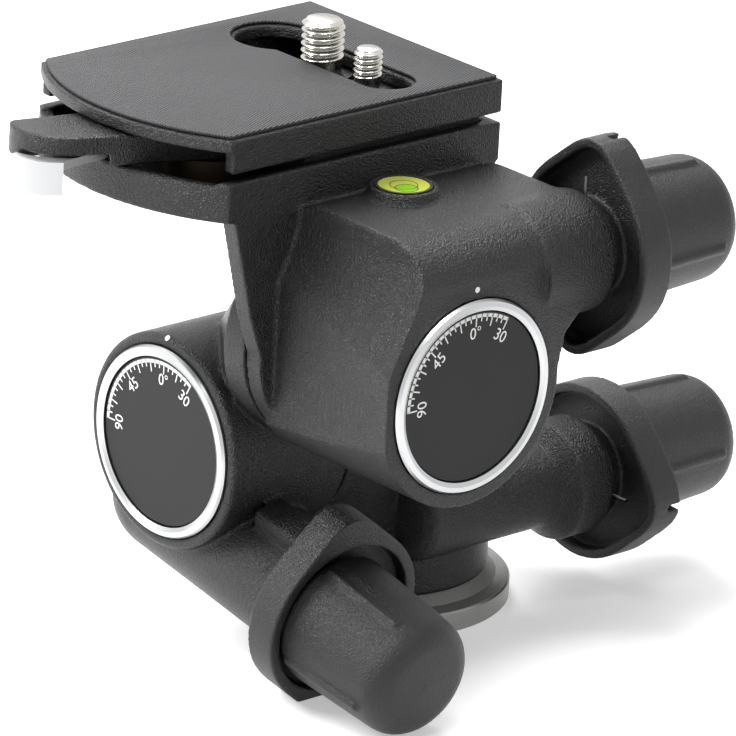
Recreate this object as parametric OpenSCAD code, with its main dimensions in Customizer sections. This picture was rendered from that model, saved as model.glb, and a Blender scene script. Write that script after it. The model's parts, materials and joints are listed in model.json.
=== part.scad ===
// Geared tripod head with three worm stages: pan, front tilt and side tilt.
// Frame: origin on the pan axis at the foot of the base, +X to the right,
// -Y towards the operator's front, +Z up. Millimetres.

/* [Base] */
// Radius of the base plate
base_r = 30.5; // [28:0.5:33]
// Height of the machined side of the base plate
base_h = 5; // [4:0.5:6]
// Height of the raised cast centre of the base plate
base_rise = 2.6; // [2:0.2:3.2]
// Radius of the tripod thread bore (3/8 inch)
tripod_bore_r = 4.2; // [3.1:0.1:4.8]
// Depth of the tripod thread bore
tripod_bore_d = 12; // [8:0.5:14]

/* [Axes] */
// Height of the front tilt axis
tilt_z = 49; // [48:0.5:52]
// Side of the side tilt axis, left of the pan axis
roll_x = -41.6; // [-43:0.2:-40]
// Height of the side tilt axis
roll_z = 77.8; // [76:0.2:82]
// Front plane of the side tilt dial
roll_face_y = -74.2; // [-76:0.2:-73]
// Left plane of the front tilt dial
tilt_face_x = -65.7; // [-68:0.1:-65]
// Height of the pan worm
pan_worm_z = 28; // [27:0.5:29]
// Slope of the lower worm towards the front, degrees
low_slope = 10.4; // [8:0.2:12]

/* [Worm stages] */
// Teeth on each worm wheel, one knob turn each
wheel_teeth = 48; // [46:2:50]
// Distance from a wheel's axis to its worm
worm_c = 21.75; // [21.2:0.05:22]
// Pitch radius of the worm
worm_pitch_r = 4; // [3.9:0.05:4.1]
// Radius of the worm shaft
worm_shaft_r = 3; // [2.6:0.1:3]
// Threaded length of the worm
worm_len = 15; // [12:1:16]
// Width of a wheel's toothed rim
wheel_w = 5; // [4:0.5:5.5]
// Depth of the worm behind the dial face
worm_plane = 15.2; // [15:0.1:15.6]
// Offset of the worm from the middle of its eccentric sleeve
sleeve_e = 1.9; // [1.7:0.1:2]
// Outer radius of the eccentric sleeve
sleeve_r = 8; // [7.8:0.1:8.2]
// Running clearance of sleeves, shafts and bushes, on the radius
fit = 0.04; // [0.02:0.01:0.08]

/* [Levers and knobs] */
// Outer radius of the collar on each worm tube
collar_r = 13.6; // [13:0.1:14]
// Length from the wheel axis to the collar's end
collar_end = 39; // [38:0.5:40]
// Length from the wheel axis to the back of the lever
lever_start = 41; // [40.5:0.5:42]
// Thickness of the lever
lever_w = 8; // [7:0.5:9]
// Radius of the lever at its waist
lever_waist_r = 20.3; // [20:0.1:21]
// Radius of the lever at the end of a lobe
lever_lobe_r = 25; // [24:0.2:26]
// Radius of the opening in the lever's front
lever_open_r = 17.6; // [17.4:0.1:18]
// Wall of the lever's rim
lever_wall = 2.2; // [1.8:0.1:2.4]
// Radius of the knob at its rear
knob_r = 15.2; // [14.4:0.1:15.4]
// Radius of the knob at its front
knob_front_r = 14.1; // [13:0.1:14.4]
// Length of the knob
knob_len = 31.5; // [28:0.5:34]
// Radius of the knob's ribs
knob_rib_r = 1.3; // [1:0.1:1.5]
// Ribs round the knob
knob_ribs = 4; // [3:1:6]

/* [Drums] */
// Radius of the front tilt drum
tilt_drum_r = 24.3; // [24:0.1:24.6]
// Radius of the side tilt drum
roll_drum_r = 25; // [24.6:0.1:25.2]
// Outer radius of the silver ring
bezel_r = 21.6; // [21.4:0.1:21.9]
// Width of the silver ring
bezel_w = 2.45; // [2:0.05:2.8]
// Height that the ring stands proud of its casting
bezel_proud = 1.1; // [0.8:0.1:1.4]
// Radius of the tilt shafts
shaft_r = 7; // [6:0.1:7.4]
// Wall of the bronze bushes
bush_wall = 2.5; // [2:0.1:2.8]
// Seam gap between two turning castings
seam = 0.4; // [0.3:0.05:0.6]

/* [Platform and plate] */
// Height of the camera plate's top above the base
total_h = 130; // [129:0.5:133]
// Right edge of the plate
plate_right = 1; // [0:0.5:2]
// Straight width of the plate, left to right
plate_w = 77; // [75:0.5:79]
// Depth of the plate, front to back
plate_d = 64; // [62:0.5:66]
// Bulge of the plate's left edge
plate_bulge = 10.6; // [9:0.2:12]
// Height of the plate's side wall
plate_h = 8.5; // [8:0.25:9]
// Thickness of the plate's web
plate_web = 3.7; // [3.4:0.1:4.2]
// Wall of the plate's rim
plate_rim = 3; // [2.6:0.1:3.4]
// Thickness of the rubber pad
pad_t = 0.8; // [0.6:0.1:1]
// Radius of the large camera screw (3/8 inch)
screw_l_r = 4.76; // [4.7:0.02:4.8]
// Radius of the small camera screw (1/4 inch)
screw_s_r = 3.175; // [3.1:0.025:3.2]

/* [Hidden] */
$fn = 64;
hull_fn = 32;
eps = 0.01;

// Worm gearing
wheel_pitch_r = worm_c - worm_pitch_r;
tooth_m = 2 * wheel_pitch_r / wheel_teeth;
tooth_pitch = PI * tooth_m;
wheel_tip_r = wheel_pitch_r + 0.85 * tooth_m;
wheel_root_r = wheel_pitch_r - 1.2 * tooth_m;
worm_tip_r = worm_pitch_r + 0.85 * tooth_m;
worm_root_r = worm_shaft_r - 0.3;
worm_core_r = worm_shaft_r + 0.2;
wheel_face_half = 0.21 * tooth_pitch;
worm_face_half = 0.185 * tooth_pitch;
tooth_slope = 0.3;
chamber_r = wheel_tip_r + 1.3;
chamber_back = worm_plane + wheel_w / 2 + 2.9;
sleeve_back = 12.6;
thrust_r = worm_tip_r;
sleeve_front = lever_start + 5.6;
worm_back = -worm_len / 2 - 1.5;
bore_back = worm_back - 0.6;
tube_back = bore_back;
boss_start = 24.5;
boss_turn = 16;
boss_top = 17.6;
boss_w = 5;
boss_round = 1.6;

// Lever and knob
lever_end = lever_start + lever_w;
knob_start = lever_end - 1.5;
recess_d = 3.6;
cavity_d = 3.2;
rim_hub_r = sleeve_r + 2.6;
lobe_turn = 14;
slit_w = 1.4;
knob_round = 6;
worm_end = knob_start + knob_len - 9;
spring_r = 10;
spring_wire_r = 0.5;
spring_turns = 2.25;
spring_len = 3;
spring_leg = 7;
spring_end = (collar_end + lever_start) / 2 - 0.3;
spring_start = spring_end - spring_len;
spring_room_r = spring_r + 1.5;

// Drums, measured along each axis from its dial face
face_d = bezel_proud;
bezel_d = 2.9;
cover_d = 4.95;
cover_hub_d = 9.4;
cover_hub_r = 12;
bush_r = shaft_r + bush_wall;
dial_front = 0.9;
dial_back = 2.4;
dial_r = bezel_r - bezel_w - 0.35;
hub_half = wheel_w / 2 + 2.3;
hub_r = shaft_r + 3.4;
pan_hub_half = hub_half + 2;
cover_screw_r = 1.5;
cover_screw_ring = 15.5;

roll_back_y = -27.3;
gear_back_y = roll_back_y - 1.7;
roll_wheel_y = roll_face_y + worm_plane;
roll_len = roll_back_y - roll_face_y;
roll_shaft_len = roll_len + 19.3;
tilt_seam_x = -31.2;
tilt_wheel_x = tilt_face_x + worm_plane;
tilt_len = tilt_seam_x - tilt_face_x;
tilt_shaft_end = -13;
tilt_shaft_len = tilt_shaft_end - tilt_face_x;

// Pan body
base_top = base_h + base_rise;
neck_r = 25.25;
neck_z = base_top + 0.4;
neck_top = 17.5;
pan_flange_w = 5;
spindle_r = 8;
spindle_foot_r = 13;
spindle_flange_top = base_top + 3.4;
journal_r = 11;
pan_roof_z = pan_worm_z + 8.5;
pan_bush_top = pan_roof_z + 4;
spindle_top = pan_bush_top + 5;
pan_nut_r = 11;
pan_cap_r = 12;
pan_shoulder_z = 38;
pan_top_z = spindle_top + 4.5;
tube_r = 9.7;
tube_end_w = 2.6;
pan_room_r = 19.6;
gear_crown_r = 13;
wall_draft = 6;

// Platform
plate_left = plate_right - plate_w;
plate_arc_r = (plate_d * plate_d / 4 + plate_bulge * plate_bulge) / (2 * plate_bulge);
plate_arc_x = plate_left - plate_bulge + plate_arc_r;
plate_z = total_h - plate_h;
platform_top = plate_z - 2;
platform_z = total_h - 19.5;
platform_floor = platform_z + 3;
platform_low = platform_top - 0.8;
platform_wall = 3;
apron_t = 4.7;
skirt_gap = 0.3;
skirt_w = 3;
skirt_left = plate_left + 23.5;
slot_x = -22.5;
slot_w = 11;
slot_rear = 16.4;
key_r = 9;
slot_front = -20;
screw_l_y = 1;
screw_s_y = -14;
screw_neck = 0.4;
level_x = -35.6;
level_y = -41.8;
level_top = total_h - 15;
level_r = 7.2;
vial_r = 5.6;
vial_h = 4.2;

// Lock lever and catch
pivot = [plate_left + 12, -9.5];
pivot_r = 2.5;
lock_z = platform_low + 0.3;
lock_t = total_h - plate_web - 0.4 - lock_z;
lock_hub_r = 8;
paddle = [plate_left - 14.7, 5.7];
paddle_r = 11.8;
paddle_back = -15.7;
relief_t = 2.7;
relief_r = 6.5;
cam_shift = 1.5;
cam_r = skirt_left - pivot[0] - cam_shift - 0.1;
catch_centre = [plate_left - 16, 8];
catch_r = 15.7;
catch_w = 3.6;
catch_h = 7.4;
catch_top = lock_z + relief_t - 0.35;
catch_arm_t = 1.9;
catch_pin = [plate_left - 11.5, -1.5];
catch_pin_r = 1.4;
catch_arm_end = catch_centre + [-8, -11];

// ---------- Placing ----------

module at_roll_stage() { translate([roll_x, roll_wheel_y, roll_z + worm_c]) children(); }
module at_pan_stage() { translate([0, -worm_c, pan_worm_z]) rotate([90, 0, 0]) children(); }
module at_tilt_stage() {
    translate([tilt_wheel_x, 0, tilt_z]) rotate([low_slope, 0, 0])
        rotate([180, 0, -90]) translate([0, 0, worm_c]) children();
}
module at_roll_drum() { translate([roll_x, roll_face_y, roll_z]) rotate([-90, 0, 0]) children(); }
module at_tilt_drum() { translate([tilt_face_x, 0, tilt_z]) rotate([0, 90, 0]) children(); }

// Round bar along the worm axis, from x0 to x1, off the axis by y
module bar(r, x0, x1, y = 0, r2 = 0) {
    translate([x0, y, 0]) rotate([0, 90, 0])
        cylinder(r1 = r, r2 = r2 > 0 ? r2 : r, h = x1 - x0);
}

// ---------- Worm wheel ----------

// One flank point of the wheel at radius r, on side s of tooth i
function flank(i, r, s) = let (
        half = wheel_face_half - (r - wheel_pitch_r) * tooth_slope,
        a = 360 * (i + 0.5) / wheel_teeth + s * half / r * 180 / PI
    ) r * [cos(a), sin(a)];
function wheel_outline() = [for (i = [0:wheel_teeth - 1])
    each [flank(i, wheel_root_r, -1), flank(i, wheel_tip_r, -1),
          flank(i, wheel_tip_r, 1), flank(i, wheel_root_r, 1)]];

// Wheel with its hub, its middle plane at z = 0, a tooth gap on +X
module worm_wheel(bore, hub, half) {
    difference() {
        union() {
            translate([0, 0, -wheel_w / 2]) linear_extrude(wheel_w) polygon(wheel_outline());
            translate([0, 0, -half]) cylinder(r = hub, h = 2 * half);
        }
        translate([0, 0, -half - 1]) cylinder(r = bore, h = 2 * half + 2);
    }
}

// ---------- Worm ----------

thread_steps = 20;
thread_rings = round(worm_len / tooth_pitch * thread_steps);
// Cross-section of the thread in [radius, axial shift]
thread_foot = worm_face_half + (worm_pitch_r - worm_root_r) * tooth_slope;
thread_tip = worm_face_half - (worm_tip_r - worm_pitch_r) * tooth_slope;
thread_section = [[worm_root_r, thread_foot], [worm_tip_r, thread_tip],
                  [worm_tip_r, -thread_tip], [worm_root_r, -thread_foot]];
// The thread starts half a worm length back and faces the wheel (-Z) at x = 0
function thread_point(k, p) = let (a = 360 * (k - thread_rings / 2) / thread_steps - 90)
    [tooth_pitch * (k - thread_rings / 2) / thread_steps + p[1], p[0] * cos(a), p[0] * sin(a)];
function ring_faces(n, m) = [for (k = [0:n - 2]) for (j = [0:m - 1])
    each [[k * m + j, (k + 1) * m + j, k * m + (j + 1) % m],
          [k * m + (j + 1) % m, (k + 1) * m + j, (k + 1) * m + (j + 1) % m]]];
function cap_faces(n, m) = [[for (j = [0:m - 1]) j], [for (j = [m - 1:-1:0]) (n - 1) * m + j]];

module worm_thread() {
    polyhedron(
        points = [for (k = [0:thread_rings]) for (p = thread_section) thread_point(k, p)],
        faces = concat(ring_faces(thread_rings + 1, 4), cap_faces(thread_rings + 1, 4)),
        convexity = 10);
}

module worm() {
    color("silver") {
        bar(worm_shaft_r, worm_back, worm_end);
        bar(thrust_r, worm_len / 2 + 1.8, sleeve_back - 0.3);
        // The threaded middle is one faceted body round the true shaft
        resize([0, 0, 0]) union() {
            bar(worm_core_r, -worm_len / 2 - 1, worm_len / 2 + 1, $fn = 24);
            worm_thread();
        }
    }
}

// ---------- Eccentric sleeve ----------

module sleeve() {
    color("goldenrod") difference() {
        bar(sleeve_r, sleeve_back, sleeve_front, -sleeve_e);
        bar(worm_shaft_r + fit, sleeve_back - 1, sleeve_front + 1);
    }
}

// ---------- Release lever ----------

function lobe_radius(a) = let (b = a + lobe_turn * sin(2 * a))
    lever_waist_r + (lever_lobe_r - lever_waist_r) * pow(cos(b), 6);
function lever_outline() = [for (i = [0:71]) let (a = 5 * i) lobe_radius(a) * [cos(a), sin(a)]];

module release_lever(lobe) {
    color([0.13, 0.13, 0.14]) translate([lever_start, -sleeve_e, 0])
        rotate([90, 0, 90]) rotate([0, 0, lobe]) difference() {
            linear_extrude(lever_w) polygon(lever_outline());
            translate([0, 0, lever_w - recess_d]) cylinder(r = lever_open_r, h = recess_d + 1);
            difference() {
                translate([0, 0, -1]) linear_extrude(cavity_d + 1)
                    offset(delta = -lever_wall) polygon(lever_outline());
                translate([0, 0, -2]) cylinder(r = rim_hub_r, h = cavity_d + 3);
            }
            translate([0, 0, -1]) cylinder(r = sleeve_r, h = lever_w + 2);
            // Slit in one lobe
            translate([lever_open_r - 1, -slit_w / 2, lever_w - recess_d])
                cube([lever_lobe_r, slit_w, recess_d + 1]);
        }
}

// ---------- Knob ----------

module knob(turn) {
    color([0.1, 0.1, 0.11]) difference() {
        union() {
            rotate([0, 90, 0]) rotate_extrude() polygon(concat(
                [[0, knob_start], [knob_r - 0.6, knob_start], [knob_r, knob_start + 0.6],
                 [knob_front_r, knob_start + knob_len - knob_round]],
                [for (a = [15:15:90]) [knob_front_r - knob_round * (1 - cos(a)),
                                       knob_start + knob_len - knob_round * (1 - sin(a))]],
                [[0, knob_start + knob_len + 0.5]]));
            for (i = [0:knob_ribs - 1]) rotate([360 * i / knob_ribs + turn, 0, 0])
                translate([lever_end + 0.6, 0, knob_r - 0.5])
                    rotate([0, 90 + atan((knob_r - knob_front_r) / (knob_len - knob_round)), 0])
                        cylinder(r = knob_rib_r, h = knob_len - knob_round - 2.6);
        }
        bar(worm_shaft_r, knob_start - 1, worm_end);
    }
}

// ---------- Return spring ----------

// Coil round the sleeve; its leg leaves the collar and hooks behind the lever's rim
spring_steps = 16;
spring_rings = round(spring_turns * spring_steps);
spring_turn = 360 * spring_turns;
outward = [0, cos(spring_turn), sin(spring_turn)];
along = [0, -sin(spring_turn), cos(spring_turn)];
leg_foot = [spring_end, 0, 0] + spring_r * outward + 1.5 * along;
// Ring of wire round c, from the directions "side" and X
function wire_ring(c, side) = [for (b = [0:60:300])
    c + spring_wire_r * (cos(b) * side + [sin(b), 0, 0])];
function coil_ring(k) = let (a = 360 * k / spring_steps, side = [0, cos(a), sin(a)])
    wire_ring([spring_start + spring_len * k / spring_rings, 0, 0] + spring_r * side, side);

module return_spring() {
    n = spring_rings + 3;
    color("silver") translate([0, -sleeve_e, 0]) polyhedron(
        points = concat(
            [for (k = [0:spring_rings]) each coil_ring(k)],
            wire_ring(leg_foot, outward - along),
            wire_ring(leg_foot + spring_leg * outward, -along)),
        faces = concat(ring_faces(n, 6), cap_faces(n, 6)), convexity = 6);
}

// ---------- Drum parts shared by both tilts ----------

// Everything that is bored out of a drum casting, along +Z from the dial face
module drum_bores(len) {
    rotate_extrude() polygon([
        [0, -1], [bezel_r + 0.15, -1], [bezel_r + 0.15, cover_d],
        [chamber_r, cover_d], [chamber_r, chamber_back], [bush_r, chamber_back],
        [bush_r, len + 1], [0, len + 1]]);
}

module bezel() {
    color("silver") rotate_extrude() polygon([
        [bezel_r - bezel_w, 0.5], [bezel_r - 0.62 * bezel_w, 0], [bezel_r - 0.4, 0.25],
        [bezel_r, 0.9], [bezel_r, bezel_d], [bezel_r - bezel_w, bezel_d]]);
}

module drum_cover() {
    color("dimgray") difference() {
        union() {
            translate([0, 0, bezel_d]) cylinder(r = bezel_r + 0.15, h = cover_d - bezel_d);
            translate([0, 0, cover_d - eps]) cylinder(r = cover_hub_r, h = cover_hub_d - cover_d);
        }
        translate([0, 0, bezel_d - 1]) cylinder(r = bush_r, h = cover_hub_d);
        for (i = [0:3]) rotate([0, 0, 45 + 90 * i]) translate([cover_screw_ring, 0, bezel_d - 1])
            cylinder(r = cover_screw_r, h = cover_d);
    }
}

module drum_cover_screws() {
    color("silver") for (i = [0:3]) rotate([0, 0, 45 + 90 * i])
        translate([cover_screw_ring, 0, bezel_d - 0.3]) {
            cylinder(r = cover_screw_r, h = cover_d - bezel_d + 0.3);
        }
}

module drum_bushes(len) {
    color("goldenrod") {
        bush(bezel_d, cover_hub_d);
        bush(chamber_back, len - 0.3);
    }
}
module bush(z0, z1) {
    translate([0, 0, z0]) difference() {
        cylinder(r = bush_r, h = z1 - z0);
        translate([0, 0, -1]) cylinder(r = shaft_r + fit, h = z1 - z0 + 2);
    }
}
module drum_shaft(len) {
    color("silver") translate([0, 0, dial_back]) cylinder(r = shaft_r, h = len - dial_back);
}
module drum_dial() {
    color([0.07, 0.07, 0.08]) translate([0, 0, dial_front])
        cylinder(r = dial_r, h = dial_back - dial_front);
}
module drum_wheel(turn) {
    color("goldenrod") translate([0, 0, worm_plane]) rotate([0, 0, turn])
        worm_wheel(shaft_r, hub_r, hub_half);
}

// Bores of one worm tube, in the worm's own frame
module stage_bores() {
    bar(sleeve_r + fit, bore_back, collar_end + 1, -sleeve_e);
    bar(spring_room_r, spring_start - 0.7, collar_end + 1, -sleeve_e);
}
// ---------- Base ----------

module base_plate() {
    color([0.62, 0.62, 0.63]) difference() {
        rotate_extrude() polygon([
            [0, 0], [base_r - 0.4, 0], [base_r, 0.4], [base_r, base_h - 0.4],
            [base_r - 0.4, base_h], [neck_r + 2, base_h + 0.6], [neck_r - 0.6, base_top], [0, base_top]]);
        translate([0, 0, -1]) cylinder(r = spindle_foot_r - 3, h = base_top + 2);
        for (i = [0:2]) rotate([0, 0, 120 * i + 30]) translate([spindle_foot_r + 5, 0, -1])
            cylinder(r = 2, h = base_top + 2);
    }
}

module pan_spindle() {
    color("silver") difference() {
        union() {
            cylinder(r = spindle_foot_r - 3, h = base_top);
            translate([0, 0, base_top]) cylinder(r = spindle_foot_r + 8, h = spindle_flange_top - base_top);
            translate([0, 0, base_top]) cylinder(r = journal_r, h = pan_worm_z - pan_hub_half - base_top);
            translate([0, 0, base_top]) cylinder(r = spindle_r, h = spindle_top - base_top);
        }
        translate([0, 0, -1]) cylinder(r = 6.5, h = tripod_bore_d + 2);
        for (i = [0:2]) rotate([0, 0, 120 * i + 30]) translate([spindle_foot_r + 5, 0, base_top - 1])
            cylinder(r = 2, h = 3.5);
    }
}

module tripod_bush() {
    color("goldenrod") difference() {
        cylinder(r = 6.5, h = tripod_bore_d);
        translate([0, 0, -1]) cylinder(r = tripod_bore_r, h = tripod_bore_d + 2);
    }
}

module spindle_screws() {
    color("silver") for (i = [0:2]) rotate([0, 0, 120 * i + 30])
        translate([spindle_foot_r + 5, 0, 0.5]) cylinder(r = 2, h = base_top + 2);
}

module pan_wheel() {
    color("goldenrod") translate([0, 0, pan_worm_z]) rotate([0, 0, -90])
        worm_wheel(spindle_r, spindle_r + 4, pan_hub_half);
}

module pan_nut() {
    color("silver") difference() {
        translate([0, 0, pan_bush_top + 0.3]) cylinder(r = pan_nut_r, h = 4.2);
        translate([0, 0, pan_bush_top - 1]) cylinder(r = spindle_r, h = 8);
    }
}

// ---------- Pan body ----------

module pan_bearing_plate() {
    color("dimgray") difference() {
        translate([0, 0, spindle_flange_top + 0.3]) cylinder(r = neck_r - 3.5, h = 3);
        translate([0, 0, neck_z]) cylinder(r = journal_r + fit, h = 12);
    }
}

module pan_upper_bush() {
    color("goldenrod") difference() {
        translate([0, 0, pan_roof_z]) cylinder(r = pan_nut_r, h = pan_bush_top - pan_roof_z);
        translate([0, 0, pan_roof_z - 1]) cylinder(r = spindle_r + fit, h = 8);
    }
}

module pan_cap() {
    color([0.1, 0.1, 0.11]) translate([0, 0, pan_top_z - 2.5]) {
        cylinder(r = pan_cap_r, h = 2.5);
        translate([0, 0, 2.5 - eps]) cylinder(r1 = pan_cap_r - 0.6, r2 = pan_cap_r - 1.6, h = 0.8);
    }
}

module pan_housing() {
    color([0.12, 0.12, 0.13]) difference() {
        union() {
            translate([0, 0, neck_z]) cylinder(r = neck_r, h = neck_top - neck_z + 1);
            translate([0, 0, neck_top]) rotate_extrude() polygon([
                [0, 0], [neck_r + 0.8, 0], [neck_r + 0.8, 1.4], [neck_r - 1.6, 3],
                [neck_r - 2.6, 5], [neck_r - 3, pan_shoulder_z - neck_top], [pan_cap_r + 4, pan_top_z - neck_top],
                [0, pan_top_z - neck_top]]);
            hull() {
                translate([-6, 0, neck_top + 4]) cylinder(r = neck_r - 6, h = 14, $fn = hull_fn);
                translate([-14, 0, pan_top_z - 6]) cylinder(r = 5, h = 1, $fn = hull_fn);
                translate([tilt_seam_x + seam + 1.5, 0, tilt_z]) rotate([0, 90, 0])
                    cylinder(r = tilt_drum_r - 4, h = pan_flange_w, $fn = hull_fn);
            }
            translate([tilt_seam_x + seam, 0, tilt_z]) rotate([0, 90, 0])
                cylinder(r = tilt_drum_r, h = pan_flange_w);
            at_pan_stage() {
                translate([0, -sleeve_e, 0]) rotate([0, 90, 0]) rotate_extrude() polygon([
                    [0, tube_back - tube_end_w], [tube_r - 2.6, tube_back - tube_end_w],
                    [tube_r - 0.8, tube_back - 1.8], [tube_r, tube_back - 0.4], [tube_r, 28], [0, 28]]);
                bar(tube_r, 27, collar_end - 8.5, -sleeve_e, collar_r);
                bar(collar_r, collar_end - 8.5 - eps, collar_end, -sleeve_e);
            }
        }
        translate([0, 0, neck_z - 1]) cylinder(r = neck_r - 3.5, h = neck_top - neck_z);
        translate([0, 0, neck_z]) cylinder(r = pan_room_r, h = pan_roof_z - neck_z);
        translate([0, 0, pan_roof_z - 1]) cylinder(r = pan_nut_r, h = pan_bush_top - pan_roof_z + 1);
        translate([0, 0, pan_bush_top - 1]) cylinder(r = pan_cap_r, h = 40);
        at_pan_stage() stage_bores();
        at_tilt_drum() cylinder(r = shaft_r, h = tilt_shaft_len);
    }
}
module tilt_shaft() { at_tilt_drum() drum_shaft(tilt_shaft_len); }
module tilt_wheel() { at_tilt_drum() drum_wheel(low_slope); }
module tilt_dial() { at_tilt_drum() drum_dial(); }

// ---------- Middle body ----------

module tilt_housing() {
    color([0.12, 0.12, 0.13]) difference() {
        union() {
            at_tilt_drum() rotate_extrude() polygon([
                [0, face_d], [tilt_drum_r - 0.8, face_d], [tilt_drum_r, face_d + 0.8],
                [tilt_drum_r, tilt_len], [0, tilt_len]]);
            translate([roll_x, roll_back_y + seam, roll_z]) rotate([-90, 0, 0])
                cylinder(r = roll_drum_r - 1, h = 7);
            hull() {
                translate([roll_x, roll_back_y + seam + 1, roll_z]) rotate([-90, 0, 0])
                    cylinder(r = roll_drum_r - 2, h = 6, $fn = hull_fn);
                translate([roll_x - 8, -4, tilt_z + 8]) cube([16, 4, tilt_drum_r - 8]);
            }
            at_tilt_stage() {
                bar(collar_r + 0.2, tube_back, collar_end, -sleeve_e);
                translate([tube_back, -sleeve_e, 0]) sphere(r = collar_r + 0.2);
                hull() {
                    bar(collar_r - 1.5, tube_back + 2, 20, -sleeve_e, $fn = hull_fn);
                    translate([0, 0, -14]) bar(8, -14, 16, 0, $fn = hull_fn);
                }
                // Stop boss between the collar and the drum
                translate([0, -sleeve_e, 0]) rotate([boss_turn, 0, 0]) hull() {
                    for (side = [-1, 1])
                        translate([0, side * boss_w / 2, boss_round - boss_top])
                            bar(boss_round, boss_start, collar_end - 0.5, $fn = hull_fn);
                    bar(boss_w, boss_start, collar_end - 0.5, $fn = hull_fn);
                }
            }
        }
        at_tilt_drum() drum_bores(tilt_len);
        translate([tilt_seam_x, 0, tilt_z]) rotate([0, 90, 0])
            cylinder(r = tilt_drum_r + 0.9, h = 40);
        at_tilt_stage() stage_bores();
        at_roll_drum() translate([0, 0, roll_len]) cylinder(r = shaft_r, h = 19.3);
    }
}
module tilt_bezel() { at_tilt_drum() bezel(); }
module tilt_cover() { at_tilt_drum() drum_cover(); }
module tilt_bushes() { at_tilt_drum() drum_bushes(tilt_len); }
module tilt_cover_screws() { at_tilt_drum() drum_cover_screws(); }
module roll_shaft() { at_roll_drum() drum_shaft(roll_shaft_len); }
module roll_wheel() { at_roll_drum() drum_wheel(-90); }
module roll_dial() { at_roll_drum() drum_dial(); }

// ---------- Top body ----------

// Outline of plate and platform, shrunk by g
module plate_outline(g = 0) {
    intersection() {
        translate([plate_arc_x, 0]) circle(r = plate_arc_r - g, $fn = 180);
        translate([plate_left - 20, -plate_d / 2 + g]) square([plate_w + 20 - g, plate_d - 2 * g]);
    }
}

// Gear block outline seen from the front
gear_left = roll_x - 23.9;
gear_top = roll_z + worm_c + 13;
gear_right = roll_x + collar_end - 1.4;
module gear_outline() {
    translate([roll_x, roll_z]) circle(r = roll_drum_r);
    polygon([
        [gear_left, roll_z - 8], [gear_left, roll_z + 7.8], [gear_left + 4.2, roll_z + 16.8],
        [gear_left + 7.4, roll_z + 23.2], [gear_left + 9.4, roll_z + 29.5], [gear_left + 9.4, gear_top],
        [gear_right, gear_top], [gear_right, roll_z + 19.6],
        [gear_right - 11, roll_z + 9.2], [roll_x + 23, roll_z - 8], [roll_x, roll_z - 24.5]]);
}

// Apron that carries the platform, seen from the front
module apron_outline() {
    translate([roll_x, roll_z]) circle(r = roll_drum_r - 1.3);
    polygon([
        [plate_left + 1.7, platform_z + 1], [gear_left - 3.2, roll_z + 10.4],
        [gear_left + 0.4, roll_z + 0.1], [gear_left + 4.2, roll_z - 8.9],
        [gear_left + 6.5, roll_z - 12.3], [roll_x, roll_z - 20],
        [roll_x + 20, roll_z - 9], [gear_right - 8, roll_z + 14], [plate_right, platform_z + 1]]);
}

module platform() {
    difference() {
        translate([0, 0, platform_z]) linear_extrude(platform_top - platform_z) plate_outline();
        translate([0, 0, platform_floor]) linear_extrude(platform_top) plate_outline(platform_wall);
        translate([plate_left - 20, platform_wall - plate_d / 2, platform_low])
            cube([26, plate_d - 2 * platform_wall, platform_top]);
    }
}

module top_housing() {
    color([0.12, 0.12, 0.13]) difference() {
        union() {
            difference() {
                intersection() {
                    translate([0, gear_back_y, 0]) rotate([90, 0, 0])
                        linear_extrude(gear_back_y - roll_face_y - face_d) gear_outline();
                    union() {
                        translate([-100, roll_face_y + face_d, 0])
                            cube([120, -roll_face_y, roll_z + worm_c]);
                        at_roll_stage() hull() {
                            bar(gear_crown_r, -60, collar_end, -sleeve_e, $fn = 64);
                            translate([0, 20, 0]) bar(gear_crown_r, -60, collar_end, 0, $fn = 64);
                        }
                    }
                }
                // The left wall draws in towards the platform
                translate([gear_left, roll_face_y, 0]) rotate([0, 0, -wall_draft])
                    translate([-20, -5, 0]) cube([20, 60, total_h]);
            }
            translate([0, roll_back_y, 0]) rotate([90, 0, 0]) linear_extrude(apron_t) apron_outline();
            at_roll_stage() bar(collar_r, 20, collar_end, -sleeve_e);
            platform();
            translate([level_x, level_y, level_top - 9])
                cylinder(r1 = level_r + 4, r2 = level_r, h = 9);
        }
        translate([level_x, level_y, level_top - vial_h - 0.8]) cylinder(r = level_r - 0.9, h = 10);
        at_roll_drum() drum_bores(roll_len);
        at_roll_stage() stage_bores();
        translate([pivot[0], pivot[1], platform_z - 1]) cylinder(r = pivot_r, h = 10);
    }
}
module roll_bezel() { at_roll_drum() bezel(); }
module roll_cover() { at_roll_drum() drum_cover(); }
module roll_bushes() { at_roll_drum() drum_bushes(roll_len); }
module roll_cover_screws() { at_roll_drum() drum_cover_screws(); }

module level_ring() {
    color([0.1, 0.1, 0.1]) translate([level_x, level_y, level_top - vial_h - 0.8]) difference() {
        cylinder(r = level_r - 0.9, h = vial_h + 0.8);
        translate([0, 0, 0.8]) cylinder(r = vial_r, h = vial_h + 1);
    }
}
module level_vial() {
    color([0.75, 0.85, 0.2]) translate([level_x, level_y, level_top - vial_h])
        cylinder(r = vial_r, h = vial_h - 0.2);
}

// ---------- Lock lever and catch ----------

module lever_pivot() {
    color("silver") translate([pivot[0], pivot[1], platform_z + 0.5])
        cylinder(r = pivot_r, h = lock_z + lock_t - 1 - platform_z);
}

// Paddle seen from above: a round finger end on an arm from the pivot
module paddle_outline() {
    offset(r = 1.5) offset(delta = -1.5) difference() {
        hull() {
            translate(pivot) circle(r = lock_hub_r);
            translate(paddle) circle(r = paddle_r);
        }
        translate(paddle) rotate(paddle_back) translate([-20, 4.2]) square([40, 20]);
    }
}
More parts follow.
